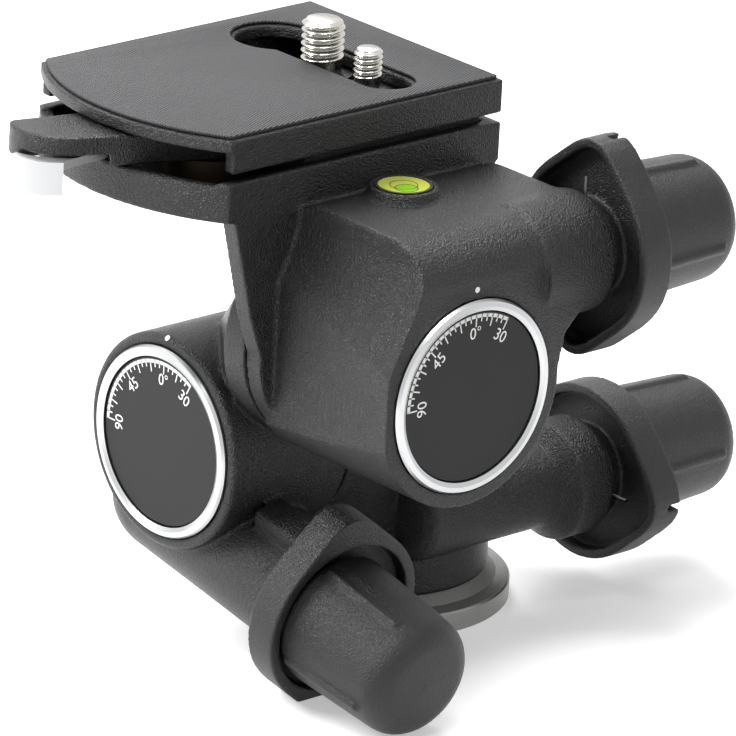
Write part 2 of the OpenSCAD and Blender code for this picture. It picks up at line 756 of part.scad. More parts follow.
// Ring sector round c, from angle a0 to a1
module ring_sector(c, r0, r1, a0, a1) {
    translate(c) polygon(concat(
        [for (i = [0:12]) let (a = a0 + (a1 - a0) * i / 12) r1 * [cos(a), sin(a)]],
        [for (i = [12:-1:0]) let (a = a0 + (a1 - a0) * i / 12) r0 * [cos(a), sin(a)]]));
}
module lock_lever() {
    color([0.12, 0.12, 0.13]) translate([0, 0, lock_z]) difference() {
        linear_extrude(lock_t) paddle_outline();
        translate([pivot[0], pivot[1], -1]) cylinder(r = pivot_r + fit, h = lock_t + 2);
        translate([0, 0, -1]) linear_extrude(relief_t + 1) {
            ring_sector(paddle, relief_r, paddle_r + 4, 178, 262);
            // Room for the catch's arm and its swing
            hull() {
                translate(catch_pin) circle(r = 3);
                translate(catch_arm_end + [0, 2]) circle(r = 2.2);
                translate(catch_arm_end) circle(r = 2.2);
                translate(catch_pin + [-4, -6]) circle(r = 2);
            }
        }
        translate([catch_pin[0], catch_pin[1], 0]) cylinder(r = catch_pin_r, h = lock_t - 1.5);
    }
}
module lock_cam() {
    color("goldenrod") translate([0, 0, platform_floor + 0.3]) difference() {
        translate([pivot[0] + cam_shift, pivot[1], 0])
            cylinder(r = cam_r, h = lock_z - platform_floor - 0.3);
        translate([pivot[0], pivot[1], -1]) cylinder(r = pivot_r + fit, h = 10);
    }
}
module safety_catch() {
    color("silver") difference() {
        union() {
            translate([0, 0, catch_top - catch_h]) linear_extrude(catch_h)
                ring_sector(catch_centre, catch_r - catch_w, catch_r, 192, 240);
            translate([0, 0, catch_top - catch_arm_t]) linear_extrude(catch_arm_t) hull() {
                translate(catch_pin) circle(r = 2.6);
                translate(catch_arm_end) circle(r = 1.8);
            }
        }
        translate([catch_pin[0], catch_pin[1], 0]) cylinder(r = catch_pin_r + fit, h = total_h);
    }
}
module catch_pin() {
    color("goldenrod") translate([catch_pin[0], catch_pin[1], catch_top - catch_arm_t])
        cylinder(r = catch_pin_r, h = lock_z + lock_t - 1.5 - catch_top + catch_arm_t);
}
module catch_spring() {
    color("silver") translate([0, 0, catch_top - catch_arm_t]) linear_extrude(catch_arm_t)
        ring_sector(paddle, relief_r + 0.3, relief_r + 0.8, 185, 225);
}

// ---------- Camera plate ----------

// Screw slot with its round entry, widened by g
module slot_shape(g = 0) {
    translate([slot_x - slot_w / 2 - g, slot_front])
        square([slot_w + 2 * g, slot_rear - slot_front]);
    translate([slot_x, slot_front]) circle(r = slot_w / 2 + g);
    translate([slot_x, slot_rear]) circle(r = key_r + g);
}
module camera_plate() {
    color([0.12, 0.12, 0.13]) difference() {
        union() {
            translate([0, 0, plate_z]) linear_extrude(plate_h - pad_t) plate_outline();
            // Skirt that drops into the platform
            translate([0, 0, platform_floor + skirt_gap])
                linear_extrude(plate_z + 1 - platform_floor - skirt_gap) intersection() {
                    plate_outline(platform_wall + skirt_gap);
                    translate([skirt_left, -plate_d / 2]) square([plate_w, plate_d]);
                }
        }
        translate([0, 0, platform_floor]) linear_extrude(total_h - plate_web - platform_floor)
            intersection() {
                plate_outline(platform_wall + skirt_gap + skirt_w);
                translate([skirt_left + skirt_w, -plate_d / 2]) square([plate_w, plate_d]);
            }
        // Open left side, where the lock lever swings
        translate([plate_left - 20, -plate_d, plate_z - 1])
            cube([20.5, 2 * plate_d, plate_h - plate_web + 1]);
        translate([plate_left - 1, plate_rim - plate_d / 2, plate_z - 1])
            cube([skirt_left - plate_left + 0.5, plate_d - 2 * plate_rim, plate_h - plate_web + 1]);
        translate([0, 0, total_h - plate_web - 1]) linear_extrude(plate_web + 2) slot_shape();
    }
}
module plate_pad() {
    color([0.16, 0.16, 0.17]) translate([0, 0, total_h - pad_t]) difference() {
        linear_extrude(pad_t) plate_outline(1);
        translate([0, 0, -1]) linear_extrude(pad_t + 2) slot_shape(1);
    }
}
module washer(y, r) {
    color([0.1, 0.1, 0.1]) difference() {
        translate([slot_x, y, total_h - plate_web - 2]) cylinder(r = slot_w / 2 + 1.5, h = 1.7);
        translate([slot_x, y, total_h - plate_web - 3]) cylinder(r = r - screw_neck + fit, h = 5);
    }
}
// Captive screw: head under the washer, neck through the slot, thread above the pad
module camera_screw(y, r, proud) {
    color("silver") translate([slot_x, y, 0]) {
        translate([0, 0, total_h - plate_web - 5]) cylinder(r = slot_w / 2 + 1, h = 2.9);
        translate([0, 0, total_h - plate_web - 2.2])
            cylinder(r = r - screw_neck, h = plate_web + 2.2 + eps);
        translate([0, 0, total_h]) cylinder(r = r, h = proud - 1);
        translate([0, 0, total_h + proud - 1 - eps]) cylinder(r1 = r, r2 = r - 1, h = 1);
    }
}
module screw_washer_large() { washer(screw_l_y, screw_l_r); }
module screw_washer_small() { washer(screw_s_y, screw_s_r); }
module camera_screw_large() { camera_screw(screw_l_y, screw_l_r, 8); }
module camera_screw_small() { camera_screw(screw_s_y, screw_s_r, 5.5); }

// ---------- Stage pieces ----------

module pan_lever() { at_pan_stage() release_lever(95); }
module pan_sleeve() { at_pan_stage() sleeve(); }
module pan_spring() { at_pan_stage() return_spring(); }
module pan_knob() { at_pan_stage() knob(0); }
module pan_worm() { at_pan_stage() worm(); }
module tilt_lever() { at_tilt_stage() release_lever(95); }
module tilt_sleeve() { at_tilt_stage() sleeve(); }
module tilt_spring() { at_tilt_stage() return_spring(); }
module tilt_knob() { at_tilt_stage() knob(23); }
module tilt_worm() { at_tilt_stage() worm(); }
module roll_lever() { at_roll_stage() release_lever(95); }
module roll_sleeve() { at_roll_stage() sleeve(); }
module roll_spring() { at_roll_stage() return_spring(); }
module roll_knob() { at_roll_stage() knob(12); }
module roll_worm() { at_roll_stage() worm(); }

base_plate();
tripod_bush();
pan_spindle();
pan_wheel();
pan_nut();
spindle_screws();
pan_housing();
pan_bearing_plate();
pan_upper_bush();
pan_cap();
tilt_shaft();
tilt_wheel();
tilt_dial();
tilt_housing();
tilt_bezel();
tilt_cover();
tilt_bushes();
tilt_cover_screws();
roll_shaft();
roll_wheel();
roll_dial();
top_housing();
roll_bezel();
roll_cover();
roll_bushes();
roll_cover_screws();
level_ring();
level_vial();
pan_lever();
pan_sleeve();
pan_spring();
pan_knob();
pan_worm();
tilt_lever();
tilt_sleeve();
tilt_spring();
tilt_knob();
tilt_worm();
roll_lever();
roll_sleeve();
roll_spring();
roll_knob();
roll_worm();
lever_pivot();
lock_lever();
lock_cam();
safety_catch();
catch_pin();
catch_spring();
camera_plate();
plate_pad();
screw_washer_large();
camera_screw_large();
screw_washer_small();
camera_screw_small();
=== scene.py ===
"""Geared tripod head: finishes, printed dials, screw threads, light and camera.

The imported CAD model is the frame, and nothing here moves or resizes it. Cast and
moulded pieces are shown by softened copies of their CAD shapes, inside the CAD
model's box. Scales, numbers, thread turns and the level's bubble are added on top.
Lengths are metres unless a name ends in _mm, and angles are degrees unless a name
ends in _rad.
"""

import json
import logging
import math
from dataclasses import dataclass, field
from enum import Enum

import bpy
from mathutils import Matrix, Vector

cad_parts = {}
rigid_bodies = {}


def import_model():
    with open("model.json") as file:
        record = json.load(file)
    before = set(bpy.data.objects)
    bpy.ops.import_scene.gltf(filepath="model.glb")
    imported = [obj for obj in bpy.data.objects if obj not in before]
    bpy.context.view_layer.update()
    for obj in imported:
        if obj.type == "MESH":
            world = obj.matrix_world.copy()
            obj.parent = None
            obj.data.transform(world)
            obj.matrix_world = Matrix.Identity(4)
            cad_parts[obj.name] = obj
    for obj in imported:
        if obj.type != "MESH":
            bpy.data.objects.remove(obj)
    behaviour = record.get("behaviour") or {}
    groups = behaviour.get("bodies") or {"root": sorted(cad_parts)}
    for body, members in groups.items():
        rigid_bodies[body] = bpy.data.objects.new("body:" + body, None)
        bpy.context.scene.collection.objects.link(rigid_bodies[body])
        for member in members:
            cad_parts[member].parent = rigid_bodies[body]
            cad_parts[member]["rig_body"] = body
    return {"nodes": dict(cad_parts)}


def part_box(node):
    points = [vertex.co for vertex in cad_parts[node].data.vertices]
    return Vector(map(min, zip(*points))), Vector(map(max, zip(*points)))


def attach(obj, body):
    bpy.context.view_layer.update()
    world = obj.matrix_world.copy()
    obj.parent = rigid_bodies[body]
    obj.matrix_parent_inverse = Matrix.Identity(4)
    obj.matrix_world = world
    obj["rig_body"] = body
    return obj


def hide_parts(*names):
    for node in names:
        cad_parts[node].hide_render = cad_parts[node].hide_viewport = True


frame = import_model()

LOG = logging.getLogger("geared_head")
MM = 0.001
# Corners closer than this are one corner
WELD_DISTANCE = 0.002 * MM
# Standard camera threads: 3/8 inch with 16 turns per inch, 1/4 inch with 20
LARGE_SCREW_RADIUS = 4.76 * MM
LARGE_SCREW_PITCH = 1.5875 * MM
SMALL_SCREW_RADIUS = 3.175 * MM
SMALL_SCREW_PITCH = 1.27 * MM


class Slot(Enum):
    """Material slots of the record, one for each finish."""

    CAST = "cast_black"
    ALUMINIUM = "machined_aluminium"
    STEEL = "zinc_steel"
    BRONZE = "bronze"
    PLASTIC = "soft_plastic"
    DIAL = "dial_black"
    RUBBER = "pad_rubber"
    LEVEL = "level_liquid"


def linear(colour: str) -> tuple[float, float, float, float]:
    """Turn an sRGB hex colour into the linear RGBA that shaders take.

    Args:
        colour: six hex digits, such as "c8c8c6".

    Returns:
        Red, green, blue and alpha, each from 0 to 1.
    """
    parts = [int(colour[i : i + 2], 16) / 255 for i in (0, 2, 4)]
    curve = [c / 12.92 if c <= 0.04045 else ((c + 0.055) / 1.055) ** 2.4 for c in parts]
    return (*curve, 1.0)


def direction(azimuth: float, elevation: float) -> Vector:
    """Point from the head towards a place round it.

    Args:
        azimuth: 0 at the front and 90 at the right.
        elevation: height as an angle.

    Returns:
        The unit vector.
    """
    azimuth_rad, elevation_rad = math.radians(azimuth), math.radians(elevation)
    return Vector(
        (
            math.sin(azimuth_rad) * math.cos(elevation_rad),
            -math.cos(azimuth_rad) * math.cos(elevation_rad),
            math.sin(elevation_rad),
        )
    )


def add_node(tree: bpy.types.NodeTree, kind: str, settings: dict, links: dict) -> bpy.types.Node:
    """Add a shader node with its settings and links.

    Args:
        tree: the node tree that takes the node.
        kind: the node's type, such as "ShaderNodeBump".
        settings: names of the node's properties or inputs, with their values.
        links: input names or numbers, each with the output socket that feeds it.

    Returns:
        The new node.
    """
    node = tree.nodes.new(kind)
    for name, value in settings.items():
        if hasattr(node, name):
            setattr(node, name, value)
        else:
            node.inputs[name].default_value = value
    for name, socket in links.items():
        tree.links.new(socket, node.inputs[name])
    return node


@dataclass(frozen=True)
class Finish:
    """A plain even surface, and the start of every other finish."""

    name: str
    slot: Slot
    colour: str
    roughness: float
    metallic: float = 0.0
    coat: float = 0.0
    specular: float = 0.5

    def relief(self, tree: bpy.types.NodeTree) -> bpy.types.NodeSocket | None:
        """Return the socket of the surface's fine relief, which a plain finish lacks."""
        return None

    def build(self) -> bpy.types.Material:
        """Make the material.

        Returns:
            The material, with the relief linked to its shader's normal.
        """
        material = bpy.data.materials.new(self.name)
        material.use_nodes = True
        tree = material.node_tree
        shader = tree.nodes["Principled BSDF"]
        shader.inputs["Base Color"].default_value = linear(self.colour)
        shader.inputs["Roughness"].default_value = self.roughness
        shader.inputs["Metallic"].default_value = self.metallic
        shader.inputs["Coat Weight"].default_value = self.coat
        shader.inputs["Specular IOR Level"].default_value = self.specular
        socket = self.relief(tree)
        if socket is not None:
            tree.links.new(socket, shader.inputs["Normal"])
        return material


@dataclass(frozen=True)
class Grained(Finish):
    """A coated or moulded surface with an irregular grain of a real size."""

    grain_mm: float = 0.5
    depth_mm: float = 0.02
    second_grain: float = 2.6

    def relief(self, tree: bpy.types.NodeTree) -> bpy.types.NodeSocket | None:
        """Build the grain from a coarse and a finer noise.

        Args:
            tree: the material's node tree.

        Returns:
            The bump node's normal socket.
        """
        place = add_node(tree, "ShaderNodeTexCoord", {}, {}).outputs["Object"]
        scale = 1 / (self.grain_mm * MM)
        coarse = add_node(
            tree, "ShaderNodeTexNoise", {"Scale": scale, "Detail": 1.0}, {"Vector": place}
        )
        fine = add_node(
            tree,
            "ShaderNodeTexNoise",
            {"Scale": scale * self.second_grain, "Detail": 0.0},
            {"Vector": place},
        )
        height = add_node(
            tree,
            "ShaderNodeMath",
            {"operation": "ADD"},
            {0: coarse.outputs[0], 1: fine.outputs[0]},
        )
        bump = add_node(
            tree,
            "ShaderNodeBump",
            {"Distance": self.depth_mm * MM, "Strength": 1.0},
            {"Height": height.outputs[0]},
        )
        return bump.outputs["Normal"]


@dataclass(frozen=True)
class Turned(Finish):
    """A lathe-turned surface, with fine rings round its own axis."""

    centre: tuple[float, float, float] = (0.0, 0.0, 0.0)
    across: tuple[float, float, float] = (1.0, 1.0, 0.0)
    feed_mm: float = 0.3
    depth_mm: float = 0.004

    def relief(self, tree: bpy.types.NodeTree) -> bpy.types.NodeSocket | None:
        """Build the tool marks as waves of the distance from the axis.

        Args:
            tree: the material's node tree.

        Returns:
            The bump node's normal socket.
        """
        place = add_node(tree, "ShaderNodeTexCoord", {}, {}).outputs["Object"]
        offset = add_node(
            tree, "ShaderNodeVectorMath", {"operation": "SUBTRACT"}, {0: place}
        )
        offset.inputs[1].default_value = self.centre
        flat = add_node(
            tree, "ShaderNodeVectorMath", {"operation": "MULTIPLY"}, {0: offset.outputs[0]}
        )
        flat.inputs[1].default_value = self.across
        radius = add_node(
            tree, "ShaderNodeVectorMath", {"operation": "LENGTH"}, {0: flat.outputs[0]}
        )
        turns = add_node(
            tree, "ShaderNodeMath", {"operation": "MULTIPLY"}, {0: radius.outputs["Value"]}
        )
        turns.inputs[1].default_value = 2 * math.pi / (self.feed_mm * MM)
        wave = add_node(tree, "ShaderNodeMath", {"operation": "SINE"}, {0: turns.outputs[0]})
        bump = add_node(
            tree,
            "ShaderNodeBump",
            {"Distance": self.depth_mm * MM, "Strength": 1.0},
            {"Height": wave.outputs[0]},
        )
        return bump.outputs["Normal"]


@dataclass(frozen=True)
class BlastedAboveTurned(Grained):
    """A turned rim whose upper face keeps the blasted grain of the casting."""

    rim_height: float = 0.0
    blasted_roughness: float = 0.62

    def build(self) -> bpy.types.Material:
        """Make the material, rough above the rim and smooth below it.

        Returns:
            The material, with grain and roughness switched by height.
        """
        material = super().build()
        tree = material.node_tree
        shader = tree.nodes["Principled BSDF"]
        place = add_node(tree, "ShaderNodeTexCoord", {}, {}).outputs["Object"]
        height = add_node(tree, "ShaderNodeSeparateXYZ", {}, {0: place}).outputs["Z"]
        above = add_node(tree, "ShaderNodeMath", {"operation": "GREATER_THAN"}, {0: height})
        above.inputs[1].default_value = self.rim_height
        rough = add_node(
            tree,
            "ShaderNodeMapRange",
            {"To Min": self.roughness, "To Max": self.blasted_roughness},
            {"Value": above.outputs[0]},
        )
        tree.links.new(rough.outputs[0], shader.inputs["Roughness"])
        tree.links.new(above.outputs[0], tree.nodes["Bump"].inputs["Strength"])
        return material


@dataclass(frozen=True)
class Ribbed(Finish):
    """Moulded rubber with straight ribs that run across the pad."""

    pitch_mm: float = 0.65
    depth_mm: float = 0.07
    slant: float = 114.5

    def relief(self, tree: bpy.types.NodeTree) -> bpy.types.NodeSocket | None:
        """Build the ribs as a wave along the slanted direction.

        Args:
            tree: the material's node tree.

        Returns:
            The bump node's normal socket.
        """
        place = add_node(tree, "ShaderNodeTexCoord", {}, {}).outputs["Object"]
        along = add_node(tree, "ShaderNodeVectorMath", {"operation": "DOT_PRODUCT"}, {0: place})
        slant_rad = math.radians(self.slant)
        along.inputs[1].default_value = (math.cos(slant_rad), math.sin(slant_rad), 0.0)
        turns = add_node(
            tree, "ShaderNodeMath", {"operation": "MULTIPLY"}, {0: along.outputs["Value"]}
        )
        turns.inputs[1].default_value = 2 * math.pi / (self.pitch_mm * MM)
        wave = add_node(tree, "ShaderNodeMath", {"operation": "SINE"}, {0: turns.outputs[0]})
        bump = add_node(
            tree,
            "ShaderNodeBump",
            {"Distance": self.depth_mm * MM, "Strength": 1.0},
            {"Height": wave.outputs[0]},
        )
        return bump.outputs["Normal"]


# Die-cast aluminium under black wrinkle powder coat: a satin black with a faint grain.
# The grain is drawn deeper than a real coat's, and still shows less than in the photograph
POWDER_COAT = Grained(
    "Die_cast_powder_coat", Slot.CAST, "0a0a0b", 0.34, specular=0.45, grain_mm=0.6, depth_mm=0.3
)
# Black nylon moulded in an etched tool: softer than the castings, with a finer grain
MOULDED_NYLON = Grained(
    "Etched_moulded_nylon", Slot.PLASTIC, "0f0f10", 0.4, specular=0.45, grain_mm=0.5, depth_mm=0.16
)
# Hard-anodised and printed aluminium disc: even dark grey with a dull sheen
ANODISED_DIAL = Finish("Anodised_dial_disc", Slot.DIAL, "121214", 0.4, specular=0.25)
# White screen-printed ink: flat and bright
PRINT_INK = Finish("Screen_printed_ink", Slot.DIAL, "e9e9e6", 0.55)
# Zinc-plated turned steel: bright and slightly warm
ZINC_PLATE = Finish("Zinc_plated_steel", Slot.STEEL, "cfcdc6", 0.24, metallic=1.0)
# Tumbled die-cast zinc with clear lacquer: pale satin silver
TUMBLED_ZINC = Finish("Tumbled_zinc_casting", Slot.STEEL, "c4c5c6", 0.45, metallic=1.0)
# Blued spring wire: dark metal with a soft shine
BLUED_SPRING = Finish("Blued_spring_wire", Slot.STEEL, "5a5a5c", 0.32, metallic=1.0)
# Machined bronze: warm yellow metal with a fine tool finish
BRONZE = Finish("Machined_bronze", Slot.BRONZE, "b98a4a", 0.34, metallic=1.0)
# Bronze of the lock cam inside the platform, darkened to a dull brown as painted shade of the platform's
# recess
RECESS_SHADE_BRONZE = Finish("Bronze_darkened_as_painted_shade", Slot.BRONZE, "4e4334", 0.5, metallic=1.0)
# Moulded rubber sheet with fine slanted ribs: dull, and dark in the grooves
RIBBED_RUBBER = Ribbed("Ribbed_moulded_rubber", Slot.RUBBER, "17171a", 0.55, specular=0.45)
# Clear acrylic vial over green-yellow liquid: glossy, bright and even
LEVEL_LIQUID = Finish("Acrylic_level_vial", Slot.LEVEL, "c4cc52", 0.08, coat=1.0)
# The bubble under the vial's crown, where the liquid is thin: clear bright green
BUBBLE = Finish("Level_bubble", Slot.LEVEL, "8fc832", 0.06, coat=1.0)
# Printed circle and the bubble's dark rim: flat black line
LEVEL_LINE = Finish("Printed_level_circle", Slot.LEVEL, "14180a", 0.4)


def move_to_body(piece: bpy.types.Object, node: str) -> None:
    """Let a piece ride on the body of a CAD node.

    Args:
        piece: the new object.
        node: the CAD node that carries it.
    """
    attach(piece, frame["nodes"][node]["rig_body"])


def mesh_piece(
    name: str,
    points: list[tuple[float, float, float]],
    faces: list[tuple[int, ...]],
    place: Matrix,
) -> bpy.types.Object:
    """Make a mesh object from points and faces.

    Args:
        name: the object's name.
        points: corners in the piece's own frame.
        faces: corner numbers of each face.
        place: where the piece's own frame lies.

    Returns:
        The new object, with its place in its mesh.
    """
    mesh = bpy.data.meshes.new(name)
    mesh.from_pydata(points, [], faces)
    mesh.transform(place)
    mesh.validate()
    piece = bpy.data.objects.new(name, mesh)
    bpy.context.scene.collection.objects.link(piece)
    return piece


def prism(outline: list[tuple[float, float]], low: float, high: float) -> tuple[list, list]:
    """Extrude a closed outline.

    Args:
        outline: corners in the plane, anticlockwise.
        low: height of the underside.
        high: height of the top.

    Returns:
        The points and faces of the solid.
    """
    count = len(outline)
    points = [(x, y, z) for z in (low, high) for x, y in outline]
    faces = [tuple(range(count - 1, -1, -1)), tuple(range(count, 2 * count))]
    for i in range(count):
        j = (i + 1) % count
        faces.append((i, j, count + j, count + i))
    return points, faces


def joined(parts: list[tuple[list, list]]) -> tuple[list, list]:
    """Gather several solids into one list of points and faces.

    Args:
        parts: points and faces of each solid.

    Returns:
        The points and faces of them all.
    """
    points: list = []
    faces: list = []
    for part_points, part_faces in parts:
        start = len(points)
        points += part_points
        faces += [tuple(start + i for i in face) for face in part_faces]
    return points, faces


@dataclass
class Softening:
    """How a cast or moulded piece's edges are rounded by remeshing and smoothing."""

    voxel_mm: float
    rounds: int
    keep: float
    smoothing: float = 0.5

    def apply(self, node: str, material: bpy.types.Material) -> bpy.types.Object:
        """Show a softened copy in place of a CAD node.

        Args:
            node: the CAD node to stand for.
            material: the finish of the copy.

        Returns:
            The softened piece.
        """
        source = frame["nodes"][node]
        draft = bpy.data.objects.new(f"{node}_draft", source.data.copy())
        bpy.context.scene.collection.objects.link(draft)
        weld = draft.modifiers.new("weld", "WELD")
        weld.merge_threshold = WELD_DISTANCE
        remesh = draft.modifiers.new("remesh", "REMESH")
        remesh.mode = "VOXEL"
        remesh.voxel_size = self.voxel_mm * MM
        smooth = draft.modifiers.new("smooth", "SMOOTH")
        smooth.factor = self.smoothing
        smooth.iterations = self.rounds
        fewer = draft.modifiers.new("fewer", "DECIMATE")
        fewer.ratio = self.keep
        bpy.context.view_layer.update()
        graph = bpy.context.evaluated_depsgraph_get()
        mesh = bpy.data.meshes.new_from_object(draft.evaluated_get(graph))
        bpy.data.objects.remove(draft)
        mesh.materials.clear()
        mesh.materials.append(material)
        mesh.shade_smooth()
        piece = bpy.data.objects.new(f"{node}_soft", mesh)
        bpy.context.scene.collection.objects.link(piece)
        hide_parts(node)
        move_to_body(piece, node)
        return piece


@dataclass
class Dial:
    """A printed tilt scale on its disc, with the index dot on the casting round it."""

    name: str
    disc: str
    casting: str
    centre: Vector
    outward: Vector
    rightward: Vector
    band_radius: float = 18.4 * MM
    band_width: float = 0.8 * MM
    minor_tick: float = 1.7 * MM
    major_tick: float = 2.8 * MM
    tick_width: float = 0.3 * MM
    number_height: float = 3.7 * MM
    number_radius: float = 14.1 * MM
    ink: float = 0.02 * MM
    first: int = -90
    last: int = 30
    step: int = 5
    major_step: int = 15
    numbers: dict = field(default_factory=lambda: {-90: "90", -45: "45", 0: "0°", 30: "30"})
    index_radius: float = 23.9 * MM
    index_size: float = 0.65 * MM
    index_sink: float = 0.3 * MM
    index_reach_mm: float = 40.0
    index_steps: int = 24
    arc_step: int = 2

    def place(self) -> Matrix:
        """Return the frame of the disc's face: x right, y up, z out of the dial."""
        up = self.outward.cross(self.rightward)
        axes = Matrix((self.rightward, up, self.outward)).transposed()
        return Matrix.Translation(self.centre) @ axes.to_4x4()

    def ring_part(self, inner: float, outer: float, start: float, end: float) -> tuple[list, list]:
        """Make a raised arc of ink between two radii and two angles.

        Args:
            inner: inner radius.
            outer: outer radius.
            start: first angle, clockwise from the top.
            end: last angle, clockwise from the top.

        Returns:
            The points and faces of the arc.
        """
        steps = max(1, round((end - start) / self.arc_step))
        parts = []
        for i in range(steps):
            angles = [math.radians(start + (end - start) * k / steps) for k in (i, i + 1)]
            corners = [(inner, angles[1]), (inner, angles[0]), (outer, angles[0]), (outer, angles[1])]
            outline = [(r * math.sin(a), r * math.cos(a)) for r, a in corners]
            parts.append(prism(outline[::-1], 0.0, self.ink))
        return joined(parts)

    def tick(self, angle: float, length: float) -> tuple[list, list]:
        """Make one tick that points inward from the band.

        Args:
            angle: its angle, clockwise from the top.
            length: its length.

        Returns:
            The points and faces of the tick.
        """
        half = self.tick_width / 2
        angle_rad = math.radians(angle)
        out = Vector((math.sin(angle_rad), math.cos(angle_rad)))
        side = Vector((out.y, -out.x))
        outer = out * self.band_radius
        inner = out * (self.band_radius - length)
        corners = [outer - side * half, inner - side * half, inner + side * half, outer + side * half]
        return prism([tuple(c) for c in corners], 0.0, self.ink)

    def scale(self, ink: bpy.types.Material) -> bpy.types.Object:
        """Make the band and its ticks.

        Args:
            ink: the material of the print.

        Returns:
            The scale as one piece.
        """
        parts = [
            self.ring_part(self.band_radius - self.band_width, self.band_radius, self.first, self.last)
        ]
        for angle in range(self.first, self.last + 1, self.step):
            major = angle % self.major_step == 0
            parts.append(self.tick(angle, self.major_tick if major else self.minor_tick))
        points, faces = joined(parts)
        piece = mesh_piece(f"{self.name}_scale", points, faces, self.place())
        piece.data.materials.append(ink)
        return piece

    def number(self, angle: int, words: str, ink: bpy.types.Material) -> bpy.types.Object:
        """Make one number, with its top outward.

        Args:
            angle: its place, clockwise from the top.
            words: what it says.
            ink: the material of the print.

        Returns:
            The number as a thin mesh.
        """
        curve = bpy.data.curves.new(f"{self.name}_number", "FONT")
        curve.body = words
        curve.size = self.number_height
        curve.align_x = "CENTER"
        curve.align_y = "CENTER"
        curve.extrude = self.ink / 2
        curve.resolution_u = 4
        draft = bpy.data.objects.new("number_draft", curve)
        bpy.context.scene.collection.objects.link(draft)
        bpy.context.view_layer.update()
        graph = bpy.context.evaluated_depsgraph_get()
        mesh = bpy.data.meshes.new_from_object(draft.evaluated_get(graph))
        bpy.data.objects.remove(draft)
        angle_rad = math.radians(angle)
        spot = Vector((math.sin(angle_rad), math.cos(angle_rad), 0.0)) * self.number_radius
        spot.z = self.ink / 2
        mesh.transform(
            self.place() @ Matrix.Translation(spot) @ Matrix.Rotation(-angle_rad, 4, "Z")
        )
        mesh.materials.clear()
        mesh.materials.append(ink)
        piece = bpy.data.objects.new(f"{self.name}_number_{abs(angle)}", mesh)
        bpy.context.scene.collection.objects.link(piece)
        return piece

    def index_dot(self, casting: bpy.types.Object, ink: bpy.types.Material) -> bpy.types.Object:
        """Make the index dot where a line along the axis meets the casting.

        Args:
            casting: the softened casting above the ring.
            ink: the material of the dot.

        Returns:
            The dot, flush with the casting's surface.
        """
        up = self.outward.cross(self.rightward)
        above = self.centre + up * self.index_radius + self.outward * self.index_reach_mm * MM
        hit, spot, normal, _ = casting.ray_cast(above, -self.outward)
        if not hit:
            raise ValueError(f"{self.name}: no casting above the ring")
        turn = normal.to_track_quat("Z", "Y").to_matrix().to_4x4()
        circle = [
            (self.index_size * math.cos(a), self.index_size * math.sin(a))
            for a in (2 * math.pi * i / self.index_steps for i in range(self.index_steps))
        ]
        points, faces = prism(circle, -self.index_sink, self.ink)
        piece = mesh_piece(f"{self.name}_index", points, faces, Matrix.Translation(spot) @ turn)
        piece.data.materials.append(ink)
        return piece

    def build(self, casting: bpy.types.Object, ink: bpy.types.Material) -> None:
        """Make the whole print and let each piece ride where it is printed.

        Args:
            casting: the softened casting that carries the index dot.
            ink: the material of the print.
        """
        printed = [self.scale(ink)]
        printed += [self.number(angle, words, ink) for angle, words in self.numbers.items()]
        for piece in printed:
            move_to_body(piece, self.disc)
        dot = self.index_dot(casting, ink)
        move_to_body(dot, self.casting)
        LOG.info("%s: scale, %d numbers and index dot", self.name, len(self.numbers))


@dataclass
class CameraScrew:
    """A captive camera screw with its head, its neck and a real helical thread."""

    node: str
    radius: float
    pitch: float
    neck_gap: float = 0.4 * MM
    head_height: float = 2.9 * MM
    thread_above_plate: float = 0.1 * MM
    head_gap: float = 0.02 * MM
    depth_share: float = 0.61
    flank_gain: float = 1.4
    flank_start: float = 0.2
    sharp_angle: float = 50.0
    steps: int = 48
    rows: int = 12

    @property
    def depth(self) -> float:
        """Return the thread's depth, a share of its pitch."""
        return self.depth_share * self.pitch

    def thread_radius(self, rise: float, turn: float, left: float) -> float:
        """Work out the surface of the thread.

        Args:
            rise: height above the thread's start.
            turn: share of a turn round the axis.
            left: height that is left to the tip.

        Returns:
            The distance from the axis, with crest, root and tip chamfer.
        """
        phase = (rise / self.pitch - turn) % 1.0
        ridge = 1 - abs(2 * phase - 1)
        crest = min(1.0, max(0.0, ridge * self.flank_gain - self.flank_start))
        tip = self.radius - self.depth + max(0.0, left)
        return min(self.radius - self.depth * (1 - crest), tip)

    def build(self, zinc: bpy.types.Material) -> bpy.types.Object:
        """Make the screw in place of its CAD node.

        Args:
            zinc: the plated finish.

        Returns:
            The screw.
        """
        low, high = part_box(self.node)
        centre = (low + high) / 2
        head = (high.x - low.x) / 2 - self.head_gap
        neck = self.radius - self.neck_gap
        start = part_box("camera_plate")[1].z + self.thread_above_plate
        rings = [(low.z, head, 0), (low.z + self.head_height, head, 0)]
        rings += [(low.z + self.head_height, neck, 0), (start, neck, 0)]
        count = round((high.z - start) / self.pitch * self.rows)
        rings += [(start + (high.z - start) * i / count, 0.0, 1) for i in range(count + 1)]
        points = []
        for z, plain, threaded in rings:
            for k in range(self.steps):
                turn = k / self.steps
                cut = self.thread_radius(z - start, turn, high.z - z)
                radius = cut if threaded else plain
                angle = 2 * math.pi * turn
                points.append((radius * math.cos(angle), radius * math.sin(angle), z))
        faces = []
        for row in range(len(rings) - 1):
            for k in range(self.steps):
                a, b = row * self.steps + k, row * self.steps + (k + 1) % self.steps
                faces.append((a, b, b + self.steps, a + self.steps))
        faces.append(tuple(range(self.steps - 1, -1, -1)))
        last = (len(rings) - 1) * self.steps
        faces.append(tuple(range(last, last + self.steps)))
        place = Matrix.Translation((centre.x, centre.y, 0.0))
        piece = mesh_piece(f"{self.node}_cut", points, faces, place)
        piece.data.materials.append(zinc)
        piece.data.shade_smooth()
        piece.data.set_sharp_from_angle(angle=math.radians(self.sharp_angle))
        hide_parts(self.node)
        move_to_body(piece, self.node)
        LOG.info("%s: %d rings of thread", self.node, count)
        return piece


